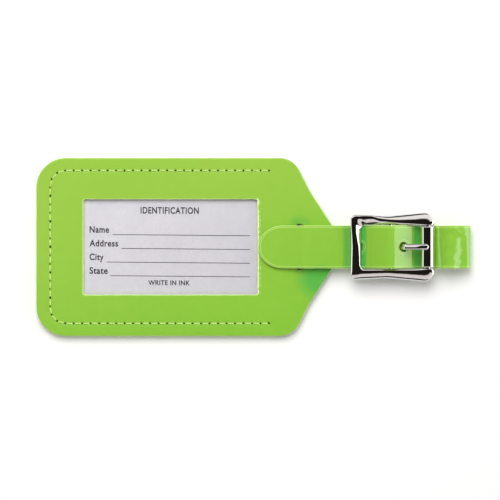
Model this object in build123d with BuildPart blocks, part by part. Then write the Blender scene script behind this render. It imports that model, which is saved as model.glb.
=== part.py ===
"""Luggage tag with a card pocket, a clear window and a strap closed by a roller buckle.

The tag lies on its back panel. +X runs from the tag towards the strap's loop, +Z through the
window. The origin is under the middle of the whole object, on the surface it lies on.
"""

from build123d import *
from math import asin, atan2, cos, degrees, hypot, radians, sin, tan
import os

os.makedirs("parts", exist_ok=True)

# Driving dimensions, in millimetres. Stations along X are counted from the tag's left end.
overall_length = 162.4
tag_height = 66.6
back_thickness = 0.9
pocket_gap = 0.8
front_thickness = 1.15
strap_width = 16.0
strap_thickness = 1.1

# Tag outline: a rectangle that tapers to a narrow neck, with a slight bend on each flank.
tag_corner_radius = 11.0
shoulder_x = 96.1
shoulder_radius = 8.3
flank_x = 102.1
flank_half_width = 21.2
flank_radius = 14.0
neck_x = 112.2
neck_half_width = 5.6
neck_corner_radius = 2.6
back_end_x = 88.6

# Window, slot and the card in its pocket.
window_x = (17.6, 82.7)
window_height = 35.6
window_corner_radius = 0.8
slot_x = 98.45
slot_width = 3.4
slot_length = 17.3
sheet_margin = 4.0
sheet_thickness = 0.25
card_length = 88.9
card_height = 50.8
card_thickness = 0.3
card_corner_radius = 1.0
card_left_x = 6.0
card_skew = 0.5
card_rest_gap = 0.1

# Lockstitch seam along three edges of the tag.
seam_inset = 4.7
seam_end_x = 87.0
seam_corner_radius = 5.6
thread_width = 0.7
thread_depth = 0.25
thread_crown = 0.15
lip_beyond_seam = 0.6

# Buckle: a concave-sided frame, a centre bar, a roller on the toe bar and a prong.
frame_x = (117.5, 148.85)
frame_thickness = 3.0
frame_level = 6.0
heel_half_width = 12.4
waist_half_width = 11.3
toe_half_width = 13.4
heel_hollow = 0.7
frame_corner_radius = 2.6
frame_edge_radius = 1.1
opening_x = 121.1
opening_half_width = 8.6
opening_corner_radius = 2.2
toe_opening_x = 142.6
toe_opening_half_width = 7.8
bar_x = 132.0
bar_radius = 1.0
bar_half_length = 10.4
toe_bar_x = 145.95
toe_bar_radius = 1.45
roller_radius = 2.75
roller_length = 15.2
roller_clearance = 0.06
prong_width = 1.9
prong_thickness = 1.5
prong_eye_wall = 1.0
prong_clearance = 0.06
prong_heel = (133.2, -1.5)
prong_knee = (136.85, -1.2)
prong_crook_x = 139.4
prong_tip_x = 146.3
prong_bend_radius = 1.3

# Strap route, holes and fastening.
strap_gap = 0.2
bar_gap = 0.05
fold_flat = 0.08
tip_x = 83.0
tip_curve_length = 9.0
tip_drop_x = (92.2, 99.6)
tip_joint_x = 109.5
tip_joint_gap = 0.35
tip_bend_radius = 14.0
slot_bend_radius = 1.2
strap_bend_radius = 4.0
loop_radius = 4.5
loop_flat = 0.3
fixed_slope = 30.0
pair_slope = 20.0
pair_join_x = 125.4
heel_dip = 0.45
neck_run_end_x = 113.9
tail_end_x = 123.3
billet_hole_x = 137.6
spare_hole_x = 120.6
hole_radius = 1.7
prong_slot_width = 3.2
rivet_x = 124.1
rivet_head_radius = 1.5
rivet_head_thickness = 0.3
rivet_shank_radius = 0.8

# Derived levels and places.
half = strap_thickness / 2
spacing = strap_thickness + strap_gap
left_end = -overall_length / 2
front_bottom = back_thickness + pocket_gap
front_top = front_bottom + front_thickness
neck_run_level = front_top + strap_gap + half
heel_fixed_level = frame_level - frame_thickness / 2 - strap_gap - half - spacing - heel_dip
fold_radius = bar_radius + bar_gap + half
crest_radius = fold_radius + spacing
roller_wrap_radius = roller_radius + strap_gap + half
eye_radius = bar_radius + prong_clearance + prong_eye_wall


def station(x):
    """Place along X of a point counted from the tag's left end."""
    return left_end + x


def corner(center, radius, normal_in, normal_out):
    """Where two straight runs meet that both pass a centre at this radius, from their normals."""
    first = Vector(cos(radians(normal_in)), sin(radians(normal_in)))
    second = Vector(cos(radians(normal_out)), sin(radians(normal_out)))
    reach = (first + second) * (radius / (1 + first.dot(second)))
    return (center[0] + reach.X, center[1] + reach.Y)


def crossing_slope(left, right, radii_sum):
    """Downward slope, in degrees, of a run from over the left round to under the right one."""
    run = right[0] - left[0]
    rise = right[1] - left[1]
    return degrees(asin(radii_sum / hypot(run, rise)) - atan2(rise, run))


def slope_between(start, end):
    """Upward slope, in degrees, of the line from one point to another."""
    return degrees(atan2(end[1] - start[1], end[0] - start[0]))


# Tag outline in plan.
with BuildSketch() as tag_outline:
    with BuildLine():
        Polyline(
            (station(0), -tag_height / 2),
            (station(0), tag_height / 2),
            (station(shoulder_x), tag_height / 2),
            (station(flank_x), flank_half_width),
            (station(neck_x), neck_half_width),
            (station(neck_x), -neck_half_width),
            (station(flank_x), -flank_half_width),
            (station(shoulder_x), -tag_height / 2),
            close=True,
        )
    make_face()
    fillet(tag_outline.vertices().group_by(Axis.X)[0], tag_corner_radius)
    fillet(tag_outline.vertices().group_by(Axis.X)[-1], neck_corner_radius)
    fillet(tag_outline.vertices().group_by(Axis.X)[-3], flank_radius)
    fillet(tag_outline.vertices().group_by(Axis.X)[-5], shoulder_radius)

# Seam line in plan, from the lower end round the left end to the upper end.
seam_y = tag_height / 2 - seam_inset
seam_points = [
    (station(seam_end_x), -seam_y),
    (station(seam_inset), -seam_y),
    (station(seam_inset), seam_y),
    (station(seam_end_x), seam_y),
]

# Front panel: full outline with the window and the strap slot. Its underside is hollowed for
# the card, from the seam's inner side out through the neck.
pocket_left = seam_inset + lip_beyond_seam
pocket_half_height = seam_y - lip_beyond_seam
window_middle = station(sum(window_x) / 2)
window_length = window_x[1] - window_x[0]
with BuildPart() as front_panel:
    with BuildSketch(Plane.XY.offset(back_thickness)):
        add(tag_outline.sketch)
    extrude(amount=pocket_gap + front_thickness)
    with BuildSketch(Plane.XY.offset(back_thickness)):
        with Locations((station(pocket_left), 0)):
            Rectangle(back_end_x - pocket_left, 2 * pocket_half_height, align=(Align.MIN, Align.CENTER))
        with Locations((station(back_end_x), 0)):
            Rectangle(neck_x, tag_height, align=(Align.MIN, Align.CENTER))
    extrude(amount=pocket_gap, mode=Mode.SUBTRACT)
    with BuildSketch(Plane.XY.offset(front_top)):
        with Locations((window_middle, 0)):
            RectangleRounded(window_length, window_height, window_corner_radius)
        with Locations((station(slot_x), 0)):
            SlotOverall(slot_length, slot_width, rotation=90)
    extrude(amount=-front_thickness, mode=Mode.SUBTRACT)
    with BuildSketch(Plane.XY.offset(front_top - thread_depth)):
        with BuildLine():
            FilletPolyline(*seam_points, radius=seam_corner_radius)
        trace(line_width=thread_width)
    extrude(amount=thread_depth, mode=Mode.SUBTRACT)
front_panel.part.label = "front_panel"
export_step(front_panel.part, "parts/front_panel.step")

# Back panel: closes the pocket and ends short of the strap slot, where the card goes in.
with BuildPart() as back_panel:
    with BuildSketch():
        add(tag_outline.sketch)
        with Locations((station(back_end_x), 0)):
            Rectangle(overall_length, tag_height, align=(Align.MIN, Align.CENTER), mode=Mode.SUBTRACT)
    extrude(amount=back_thickness)
    with BuildSketch():
        with BuildLine():
            FilletPolyline(*seam_points, radius=seam_corner_radius)
        trace(line_width=thread_width)
    extrude(amount=thread_depth, mode=Mode.SUBTRACT)
back_panel.part.label = "back_panel"
export_step(back_panel.part, "parts/back_panel.step")

# Needle thread, in its groove and standing a little above the front panel.
with BuildPart() as needle_thread:
    with BuildSketch(Plane.XY.offset(front_top - thread_depth)):
        with BuildLine():
            FilletPolyline(*seam_points, radius=seam_corner_radius)
        trace(line_width=thread_width)
    extrude(amount=thread_depth + thread_crown)
needle_thread.part.label = "needle_thread"
export_step(needle_thread.part, "parts/needle_thread.step")

# Bobbin thread, flush with the underside of the back panel.
with BuildPart() as bobbin_thread:
    with BuildSketch():
        with BuildLine():
            FilletPolyline(*seam_points, radius=seam_corner_radius)
        trace(line_width=thread_width)
    extrude(amount=thread_depth)
bobbin_thread.part.label = "bobbin_thread"
export_step(bobbin_thread.part, "parts/bobbin_thread.step")

# Clear sheet behind the window.
with BuildPart() as window_sheet:
    with BuildSketch(Plane.XY.offset(front_bottom)):
        with Locations((window_middle, 0)):
            Rectangle(window_length + 2 * sheet_margin, window_height + 2 * sheet_margin)
    extrude(amount=-sheet_thickness)
window_sheet.part.label = "window_sheet"
export_step(window_sheet.part, "parts/window_sheet.step")

# Card, a little askew in its pocket and standing out past the back panel so it can be pinched.
card_middle = (station(card_left_x + card_length / 2), 0, back_thickness + card_rest_gap)
with BuildPart() as id_card:
    with BuildSketch(Plane(origin=card_middle).rotated((0, 0, -card_skew))):
        RectangleRounded(card_length, card_height, card_corner_radius)
    extrude(amount=card_thickness)
id_card.part.label = "id_card"
export_step(id_card.part, "parts/id_card.step")

# Strap route in side view. Runs are tied to the rounds that they wrap: the centre bar, the
# roller and the loop's own bend.
bar_center = (station(bar_x), frame_level)
toe_center = (station(toe_bar_x), frame_level)
loop_wrap_radius = loop_radius - half
loop_foot = (station(overall_length - loop_radius), loop_radius)
loop_head = (loop_foot[0], loop_radius + loop_flat)
billet_fall = crossing_slope(bar_center, toe_center, crest_radius + roller_wrap_radius)
loop_reach = hypot(loop_head[0] - toe_center[0], loop_head[1] - toe_center[1])
loop_turn = degrees(asin((roller_wrap_radius + loop_wrap_radius) / loop_reach))
loop_rise = slope_between(toe_center, loop_head) + loop_turn

# The fixed run leaves the fold above the bar, joins the tail, passes the heel bar and crosses
# the neck. Each corner is a place and the slopes of the runs before and after it.
fold_top = (bar_center[0], bar_center[1] + fold_flat / 2)
fold_bottom = (bar_center[0], bar_center[1] - fold_flat / 2)
over_bar_foot = corner(fold_top, fold_radius, 90 + fixed_slope, 90 + fixed_slope)
pair_join_drop = (over_bar_foot[0] - station(pair_join_x)) * tan(radians(fixed_slope))
pair_join = (station(pair_join_x), over_bar_foot[1] - pair_join_drop)
heel_turn = (pair_join[0] - (pair_join[1] - heel_fixed_level) / tan(radians(pair_slope)), heel_fixed_level)
neck_turn = (station(neck_run_end_x), neck_run_level)
heel_rise = slope_between(neck_turn, heel_turn)
fixed_corners = [
    (pair_join, fixed_slope, pair_slope),
    (heel_turn, pair_slope, heel_rise),
    (neck_turn, heel_rise, 0),
]
billet_corners = [corner(place, spacing, 90 + before, 90 + after) for place, before, after in fixed_corners]

# The tail lies under the fixed run and turns up round the bar's underside.
tail_join = corner(pair_join, -spacing, 90 + fixed_slope, 90 + pair_slope)
tail_reach = hypot(fold_bottom[0] - tail_join[0], fold_bottom[1] - tail_join[1])
tail_slope = slope_between(tail_join, fold_bottom) - degrees(asin(fold_radius / tail_reach))
tail_end_drop = (tail_join[0] - station(tail_end_x)) * tan(radians(pair_slope))
tail_end = (station(tail_end_x), tail_join[1] - tail_end_drop)

slot_pass = station(slot_x)
strap_route = [
    (tail_join, strap_bend_radius),
    (corner(fold_bottom, fold_radius, tail_slope - 90, 0), fold_radius),
    (corner(fold_top, fold_radius, 0, 90 + fixed_slope), fold_radius),
    *[(place, strap_bend_radius) for place, before, after in fixed_corners],
    ((slot_pass, neck_run_level), slot_bend_radius),
    ((slot_pass, half), slot_bend_radius),
    (corner(loop_foot, loop_wrap_radius, -90, 0), loop_wrap_radius),
    (corner(loop_head, loop_wrap_radius, 0, 90 + loop_rise), loop_wrap_radius),
    (corner(toe_center, roller_wrap_radius, loop_rise - 90, -90 - billet_fall), roller_wrap_radius),
    (corner(bar_center, crest_radius, 90 - billet_fall, 90 + fixed_slope), crest_radius),
    *[(place, strap_bend_radius) for place in billet_corners],
]
billet_level = billet_corners[-1][1]
strap_end = (station(tip_joint_x) + tip_joint_gap, billet_level)

# Fold rivet, square to the riveted pair, its heads sunk flush in the strap.
rivet_drop = (pair_join[0] - station(rivet_x)) * tan(radians(pair_slope))
rivet_on_run = (station(rivet_x), pair_join[1] - rivet_drop)
rivet_middle = corner(rivet_on_run, -spacing / 2, 90 + pair_slope, 90 + pair_slope)
rivet_axis = (-sin(radians(pair_slope)), 0, cos(radians(pair_slope)))
rivet_half_length = spacing / 2 + half
rivet_plane = Plane(origin=(rivet_middle[0], 0, rivet_middle[1]), z_dir=rivet_axis)
with BuildPart() as fold_rivet:
    with BuildSketch(rivet_plane):
        Circle(rivet_shank_radius)
    extrude(amount=rivet_half_length - rivet_head_thickness, both=True)
    for side in (-1, 1):
        head_base = side * (rivet_half_length - rivet_head_thickness)
        with BuildSketch(rivet_plane.offset(head_base)):
            Circle(rivet_head_radius)
        extrude(amount=side * rivet_head_thickness)
fold_rivet.part.label = "fold_rivet"
export_step(fold_rivet.part, "parts/fold_rivet.step")

# Strap: one strip from the tail, round the bar, through the slot, round the loop and back
# through the buckle to the free tip's root.
with BuildPart() as strap:
    with BuildSketch(Plane.XZ):
        with BuildLine():
            FilletPolyline(
                tail_end,
                *[place for place, radius in strap_route],
                strap_end,
                radius=[radius for place, radius in strap_route],
            )
        trace(line_width=strap_thickness)
    extrude(amount=strap_width / 2, both=True)
    with BuildSketch(Plane.XZ):
        with Locations(bar_center):
            Circle(crest_radius - half - bar_gap)
    extrude(amount=prong_slot_width / 2, both=True, mode=Mode.SUBTRACT)
    with BuildSketch(Plane.XY.offset(heel_fixed_level + half + bar_gap)):
        with Locations((station(billet_hole_x), 0), (station(spare_hole_x), 0)):
            Circle(hole_radius)
    extrude(amount=frame_level + crest_radius, mode=Mode.SUBTRACT)
    add(fold_rivet.part, mode=Mode.SUBTRACT)
strap.part.label = "strap"
export_step(strap.part, "parts/strap.step")

# Free tip of the strap, lying over the neck and down onto the front panel, rounded in plan.
with BuildPart() as strap_tip:
    with BuildSketch(Plane.XZ):
        with BuildLine():
            FilletPolyline(
                (station(tip_joint_x), billet_level),
                (station(tip_drop_x[1]), billet_level),
                (station(tip_drop_x[0]), neck_run_level),
                (station(tip_x), neck_run_level),
                radius=tip_bend_radius,
            )
        trace(line_width=strap_thickness)
    extrude(amount=strap_width / 2, both=True)
    with BuildSketch():
        with Locations((station(tip_x + tip_curve_length), 0)):
            Ellipse(tip_curve_length, strap_width / 2)
            Rectangle(overall_length, strap_width, align=(Align.MIN, Align.CENTER))
    extrude(amount=frame_level + crest_radius, mode=Mode.INTERSECT)
strap_tip.part.label = "strap_tip"
export_step(strap_tip.part, "parts/strap_tip.step")

# Buckle frame: concave sides, flared corners, open at the toe where its bar carries the roller.
frame_middle = station(sum(frame_x) / 2)
frame_left = station(frame_x[0])
frame_right = station(frame_x[1])
toe_opening = station(toe_opening_x)
with BuildPart() as buckle_frame:
    with BuildSketch(Plane.XY.offset(frame_level - frame_thickness / 2)) as frame_plan:
        with BuildLine():
            ThreePointArc(
                (frame_left, -heel_half_width),
                (frame_left + heel_hollow, 0),
                (frame_left, heel_half_width),
            )
            ThreePointArc(
                (frame_left, heel_half_width),
                (frame_middle, waist_half_width),
                (frame_right, toe_half_width),
            )
            Line((frame_right, toe_half_width), (frame_right, -toe_half_width))
            ThreePointArc(
                (frame_right, -toe_half_width),
                (frame_middle, -waist_half_width),
                (frame_left, -heel_half_width),
            )
        make_face()
        fillet(frame_plan.vertices(), frame_corner_radius)
        with BuildLine():
            Polyline(
                (station(opening_x), 0),
                (station(opening_x), opening_half_width),
                (toe_opening, opening_half_width),
                (toe_opening + opening_half_width - toe_opening_half_width, toe_opening_half_width),
                (frame_right, toe_opening_half_width),
                (frame_right, 0),
            )
            mirror(about=Plane.XZ)
        make_face(mode=Mode.SUBTRACT)
        heel_corners = frame_plan.vertices().filter_by_position(
            Axis.X, station(opening_x) - 0.01, station(opening_x) + 0.01
        )
        fillet(heel_corners, opening_corner_radius)
    extrude(amount=frame_thickness)
    rims = buckle_frame.faces().filter_by(Axis.Z).edges()
    fillet(rims, frame_edge_radius)
    with BuildSketch(Plane.XZ):
        with Locations(toe_center):
            Circle(toe_bar_radius)
    extrude(amount=toe_opening_half_width + frame_edge_radius, both=True)
    with BuildSketch(Plane.XZ):
        with Locations(bar_center):
            Circle(bar_radius)
    extrude(amount=bar_half_length, both=True, mode=Mode.SUBTRACT)
buckle_frame.part.label = "buckle_frame"
export_step(buckle_frame.part, "parts/buckle_frame.step")

# Centre bar, pressed into the frame's side rails.
with BuildPart() as center_bar:
    with BuildSketch(Plane.XZ):
        with Locations(bar_center):
            Circle(bar_radius)
    extrude(amount=bar_half_length, both=True)
center_bar.part.label = "center_bar"
export_step(center_bar.part, "parts/center_bar.step")

# Roller, free to turn on the toe bar.
with BuildPart() as roller:
    with BuildSketch(Plane.XZ):
        with Locations(toe_center):
            Circle(roller_radius)
            Circle(toe_bar_radius + roller_clearance, mode=Mode.SUBTRACT)
    extrude(amount=roller_length / 2, both=True)
    rims = roller.edges().filter_by(GeomType.CIRCLE).filter_by(lambda e: e.radius > toe_bar_radius + 1)
    fillet(rims, frame_edge_radius / 3)
roller.part.label = "roller"
export_step(roller.part, "parts/roller.step")

# Prong: an eye on the centre bar and an arm that rises through the billet's hole and rests on
# the roller.
prong_rest_level = frame_level + roller_radius + bar_gap + prong_thickness / 2
with BuildPart() as prong:
    with BuildSketch(Plane.XZ):
        with Locations(bar_center):
            Circle(eye_radius)
        with BuildLine():
            FilletPolyline(
                (station(prong_heel[0]), frame_level + prong_heel[1]),
                (station(prong_knee[0]), frame_level + prong_knee[1]),
                (station(prong_crook_x), prong_rest_level),
                (station(prong_tip_x), prong_rest_level),
                radius=prong_bend_radius,
            )
        trace(line_width=prong_thickness)
        with Locations(bar_center):
            Circle(bar_radius + prong_clearance, mode=Mode.SUBTRACT)
    extrude(amount=prong_width / 2, both=True)
    tip_edges = prong.edges().filter_by(Axis.Z).sort_by(Axis.X)[-2:]
    fillet(tip_edges, prong_width * 0.45)
prong.part.label = "prong"
export_step(prong.part, "parts/prong.step")
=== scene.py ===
"""Looks of the luggage tag: patent vinyl panels, stitched pocket, printed card and chromed buckle.

Shapes are worked out in millimetres in the frame of the CAD part and turned into metres as each
mesh is made. Plane figures are lists of complex numbers.
"""
from cmath import exp, phase
from math import asin, ceil, cos, degrees, pi, radians, sin, sqrt, tan

import bpy
import bmesh
import numpy as np
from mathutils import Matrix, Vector, noise
from mathutils.geometry import delaunay_2d_cdt


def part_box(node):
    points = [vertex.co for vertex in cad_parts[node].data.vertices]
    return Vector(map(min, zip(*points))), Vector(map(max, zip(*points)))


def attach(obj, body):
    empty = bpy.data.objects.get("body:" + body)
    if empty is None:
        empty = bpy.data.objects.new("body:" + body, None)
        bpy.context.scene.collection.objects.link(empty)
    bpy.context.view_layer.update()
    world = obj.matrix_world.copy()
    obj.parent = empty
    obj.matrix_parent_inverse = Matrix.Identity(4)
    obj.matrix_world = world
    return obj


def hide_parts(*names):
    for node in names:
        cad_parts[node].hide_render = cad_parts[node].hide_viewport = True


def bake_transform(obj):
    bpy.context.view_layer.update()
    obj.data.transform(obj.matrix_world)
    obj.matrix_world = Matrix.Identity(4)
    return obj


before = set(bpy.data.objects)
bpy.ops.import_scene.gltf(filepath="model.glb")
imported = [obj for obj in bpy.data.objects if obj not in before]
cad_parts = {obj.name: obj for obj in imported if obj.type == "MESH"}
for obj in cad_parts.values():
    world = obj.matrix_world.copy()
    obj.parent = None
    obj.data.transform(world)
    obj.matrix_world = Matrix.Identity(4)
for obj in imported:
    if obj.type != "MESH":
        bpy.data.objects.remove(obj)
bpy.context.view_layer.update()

MM = 0.001
SQUARE = ((-1, -1), (1, -1), (1, 1), (-1, 1))


def box(node):
    """Lowest and highest corner of a CAD node, in millimetres."""
    low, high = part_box(node)
    return low / MM, high / MM


# Boxes read from the frame
front_low, front_high = box("front_panel")
back_high = box("back_panel")[1]
card_low, card_high = box("id_card")
sheet_low, sheet_high = box("window_sheet")
roller_low, roller_high = box("roller")
bar_low, bar_high = box("center_bar")
frame_low, frame_high = box("buckle_frame")
strap_high = box("strap")[1]
tip_low = box("strap_tip")[0]
prong_high = box("prong")[1]

# Main measures, most of them from those boxes
LEFT = front_low.x
TAG_HALF = front_high.y
FRONT_TOP = front_high.z
FRONT_WEB = sheet_high.z
BACK_TOP = back_high.z
BACK_END = back_high.x
OVERALL = 162.4
FRAME_HALF = (frame_high.z - frame_low.z) / 2
NECK_X = 112.2
BACK_END_X, BACK_CORNER = 88.6, 0.25
RECESS_X, RECESS_HALF, RECESS_CORNER = 5.3, 28.0, 5.3
STRAP_HALF = strap_high.y
BAR = complex((bar_low.x + bar_high.x) / 2, (bar_low.z + bar_high.z) / 2)
TOE = complex((roller_low.x + roller_high.x) / 2, (roller_low.z + roller_high.z) / 2)
ROLLER_RADIUS = (roller_high.z - roller_low.z) / 2
BAR_RADIUS = (bar_high.z - bar_low.z) / 2

# Tag outline, window and slot, counted from the tag's left end
TAG_CORNER = 11.0
SHOULDER_X, SHOULDER_RADIUS = 96.1, 8.3
FLANK, FLANK_RADIUS = (102.1, 21.2), 14.0
NECK_HALF, NECK_CORNER = 5.6, 2.6
WINDOW_X, WINDOW_HALF, WINDOW_CORNER = (17.6, 82.7), 17.8, 0.8
SLOT_X, SLOT_HALF_WIDTH, SLOT_HALF_LENGTH = 98.45, 1.7, 8.65

# Seam
SEAM_INSET, SEAM_LEFT, SEAM_END, SEAM_CORNER = 4.7, 5.15, 87.0, 5.6
STITCH_PITCH = 3.2
NEEDLE_HOLE, PIT_REACH = 0.27, 0.28
PLY_RADIUS, PLY_LAY = 0.21, 0.15
STITCH_DIVE = 0.4
STITCH_INSET, PLY_TURNS, PLY_SIDES = 0.13, 1.25, 7
SEAM_ROWS, HOLE_RINGS = (-0.75, -0.45, -0.22, 0.22, 0.45, 0.75), (0.1, 0.24, 0.42)

# Painted shade: darker, cooler patches of the vinyl beside the slot, on the neck by the strap and on the
# strap by and under the buckle bars: middle in mm, one over its reach in metres, and strength
PAINTED_SHADE_PATCHES = (
    ((25.5, -12.0, 2.8), (1 / 0.0085, 1 / 0.007, 1 / 0.003), 0.75),
    ((35.6, 0.0, 4.5), (1 / 0.0022, 1 / 0.04, 1 / 0.003), 0.55),
    ((40.8, 0.0, 4.6), (1 / 0.0014, 1 / 0.04, 1 / 0.0025), 0.85),
    ((61.0, 0.0, 5.0), (1 / 0.0012, 1 / 0.04, 1 / 0.0022), 0.9),
    ((17.2, 9.5, 2.8), (1 / 0.0035, 1 / 0.0022, 1 / 0.003), 0.35),
)

# Strap route
THICK = 1.1
HALF = THICK / 2
GAP = 0.2
SPACING = THICK + GAP
FOLD_RADIUS = BAR_RADIUS + 0.05 + HALF
FOLD_FLAT = 0.08
LOOP_RADIUS = 2.75
LOOP_BEND_X, BROW_SLOPE = 158.6, 18.0
LOOP_CROWN_X, CROWN_SLOPE = 154.0, 25.4
LOOP_TWIST_X, LOOP_TWIST, LOOP_TWIST_REACH, LOOP_RIPPLE = 155.6, -0.016, 4.0, 0.36
SLOT_BEND, STRAP_BEND, LOOP_BEND, CROWN_BEND = 1.2, 4.0, 12.0, 3.2
FIXED_SLOPE, PAIR_SLOPE = 30.0, 20.0
PAIR_JOIN_X = 125.4
NECK_TURN_X = 113.9
TAIL_END_X = 123.3
HEEL_DIP = 0.45
SEAM_X = 112.4
TIP_DROP_X = (92.2, 99.6)
TIP_CURVE = 9.0
TIP_BEND = 14.0
BILLET_HOLE_X, SPARE_HOLE_X, HOLE_RADIUS = 136.9, 120.6, 1.85
RIVET_X, RIVET_RADIUS = 124.1, 1.52
PRONG_SLIT = 1.6
EDGE_ROWS = (0.0, 0.06, 0.16, 0.3, 0.5, 0.75, 0.95, 1.15, 1.4, 1.8, 2.4, 3.2, 4.2, 5.4, 6.7)
STRAP_RIM = 0.5
CREASE_DEPTH, CREASE_INSET, CREASE_WIDTH = 0.07, 0.95, 0.2

# Buckle
HEEL_HALF, WAIST_HALF, HEEL_HOLLOW, HEEL_OUT = 12.3, 11.6, 0.2, -0.6
CREST_LEAN = ((0.0, -0.5), (0.15, -0.56), (0.2, -0.35), (0.24, 0.0), (0.262, 0.05), (0.28, 0.5),
              (0.3, 0.5), (0.33, 0.3), (0.36, 0.47), (0.42, 0.47), (0.49, 0.1), (0.56, -0.3),
              (0.66, -0.5), (1.0, -0.5))
CREST_OUTER = ((0.0, 0.9), (0.24, 0.9), (0.27, 0.45), (0.335, 0.45), (0.36, 0.9), (1.0, 0.9))
CREST_INNER = ((0.0, 0.9), (0.26, 0.9), (0.29, 1.3), (0.32, 1.2), (0.38, 1.9), (0.43, 1.7),
              (0.5, 0.9), (1.0, 0.9))
OPENING_X, OPENING_HALF = 121.1, 8.14
TOE_INNER, TOE_BAR_RADIUS, RIM_BEND, ROLLER_CLEARANCE = 7.75, 1.45, 0.42, 0.06
PRONG_WIDTH, PRONG_THICKNESS, PRONG_WALL, PRONG_CLEARANCE = 2.2, 1.5, 1.0, 0.06
PRONG_KNEE, PRONG_CROOK_X, PRONG_BENDS = (135.2, -1.0), 137.8, (1.3, 1.6)
PRONG_ROLL, PRONG_ROLL_END, CURL, PRONG_LEAVE = radians(18), 2.4, radians(280), -86
FRAME_SIDES, PRONG_SIDES = 36, 24

# Card and its print
CARD_SIZE = (88.9, 50.8)
CARD_SKEW = radians(0.5)
CARD_SLOPE = tan(CARD_SKEW)
CARD_TURN = exp(-1j * CARD_SKEW)
CARD_MIDDLE = complex((card_low.x + card_high.x) / 2, (card_low.y + card_high.y) / 2)
PRINT_LEVEL = card_high.z + 0.005
CAPITAL, LETTER_WEIGHT, LETTER_SPACING = 0.73, 0.024, 1.1
FORM_LEFT, FORM_RIGHT, RULE_DROP, LETTER_HEIGHT = 19.8, 79.9, 0.72, 2.5

# Camera and light
CAMERA_HEIGHT, VIEW_WIDTH, VIEW_MIDDLE = 900.0, 187.5, complex(-1.31, -1.125)
CEILING, GLOOM = (0.014, 0.011, 0.008), (0.035, 0.030, 0.022)
WALLS = (
    ("Y", 0.36, 0.48, (0.98, 0.94, 0.91)),
    ("Y", 0.78, 0.88, GLOOM),
    ("Y", -0.36, -0.48, (0.80, 0.74, 0.71)),
    ("Y", -0.78, -0.88, GLOOM),
    ("X", -0.9, -0.94, (1.25, 1.25, 1.25)),
    ("X", 0.76, 0.82, (2.2, 2.2, 2.2)),
)
BACKDROP = (0.95, 0.95, 0.95)
# Soft key from the upper left and a broad fill: name, place and side in metres, watts, colour
LAMPS = (
    ("key", (-0.14, 0.54, 0.82), 0.8, 9.0, (1, 1, 1)),
    ("fill", (0.0, 0.0, 1.5), 1.4, 2.7, (0.88, 0.94, 1.0)),
)
TABLE_HALF, TABLE_LEVEL = 2500.0, -0.04


def station(x):
    """Place along X of a point counted from the tag's left end."""
    return LEFT + x


def on_plan(x, y):
    """Point of a plane whose first coordinate is counted from the tag's left end."""
    return complex(station(x), y)


def link(thing):
    """Puts an object into the scene."""
    bpy.context.scene.collection.objects.link(thing)
    return thing


def travel_of(line):
    """Distance along a line at each of its points."""
    return np.concatenate([[0], np.cumsum(abs(np.diff(line)))])


def distinct(line):
    """A line without the points that the next one repeats."""
    return np.delete(line, np.where(abs(np.diff(line)) < 1e-6)[0])


def at_travel(places, travel, line):
    """Points of a line at distances along it."""
    return np.interp(places, travel, line.real) + 1j * np.interp(places, travel, line.imag)


def ring_faces(rings, around, closed):
    """Quads between rings of points that follow each other."""
    return [(k * around + i, k * around + (i + 1) % around,
             (k + 1) % rings * around + (i + 1) % around, (k + 1) % rings * around + i)
            for k in range(rings if closed else rings - 1) for i in range(around)]


# ---- plane figures


def rounded(points, radii, closed=True, turn_step=0.13, run_step=1.2):
    """Straight runs joined by tangent arcs, with long runs divided."""
    line = []
    for i, (point, radius) in enumerate(zip(points, radii)):
        back = points[i - 1] - point
        ahead = points[(i + 1) % len(points)] - point
        if radius == 0 or abs(back / abs(back) + ahead / abs(ahead)) < 1e-4:
            line.append(point)
            continue
        back /= abs(back)
        ahead /= abs(ahead)
        turn = pi - abs(phase(ahead / back))
        centre = point + (back + ahead) / abs(back + ahead) * radius / cos(turn / 2)
        arm = point + back * radius * tan(turn / 2) - centre
        sense = 1 if (-back.conjugate() * ahead).imag > 0 else -1
        steps = max(2, ceil(turn / turn_step))
        line += [centre + arm * exp(1j * sense * turn * k / steps) for k in range(steps + 1)]
    whole = []
    ends = line + line[:1] if closed else line
    for a, b in zip(ends, ends[1:]):
        pieces = max(1, ceil(abs(b - a) / run_step))
        whole += [a + (b - a) * k / pieces for k in range(pieces)]
    return whole if closed else whole + [line[-1]]


def circle(centre, radius, count=28):
    """A closed round, anticlockwise."""
    return [centre + radius * exp(2j * pi * k / count) for k in range(count)]


def offset(loop, distance):
    """A closed loop moved to its left by a distance."""
    count = len(loop)
    moved = []
    for i in range(count):
        along = loop[(i + 1) % count] - loop[i - 1]
        moved.append(loop[i] + 1j * along / abs(along) * distance)
    return moved


def insets(loop, *distances):
    """The loop moved to its left by each distance, as lines for a slab to follow."""
    return [(offset(loop, distance), True) for distance in distances]


def mirrored(half):
    """Rounded outline from the corners (x, y, radius) of its upper half."""
    corners = [(x, -y, r) for x, y, r in half] + half[::-1]
    return rounded([complex(x, y) for x, y, r in corners], [r for x, y, r in corners])


def nearest(points, spots):
    """Distance from each point to the nearest of some spots."""
    return np.min([abs(points - spot) for spot in spots], axis=0)


def distance_to(points, line, closed=True):
    """Distance from each point to a line of straight runs."""
    line = np.array(line + line[:1] if closed else line)
    a, run = line[:-1], np.diff(line)
    best = np.full(len(points), 1e9)
    for start, step in zip(a, run):
        if abs(step) < 1e-9:
            continue
        t = np.clip(((points - start) * step.conjugate()).real / abs(step) ** 2, 0, 1)
        best = np.minimum(best, abs(points - start - t * step))
    return best


def inside(points, loop):
    """Which points lie inside a closed loop."""
    loop = np.array(loop)
    hit = np.zeros(len(points), bool)
    for a, b in zip(loop, np.roll(loop, -1)):
        if a.imag == b.imag:
            continue
        crossing = (points.imag < max(a.imag, b.imag)) & (points.imag >= min(a.imag, b.imag))
        x = a.real + (points.imag - a.imag) * (b.real - a.real) / (b.imag - a.imag)
        hit ^= crossing & (points.real < x)
    return hit


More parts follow.
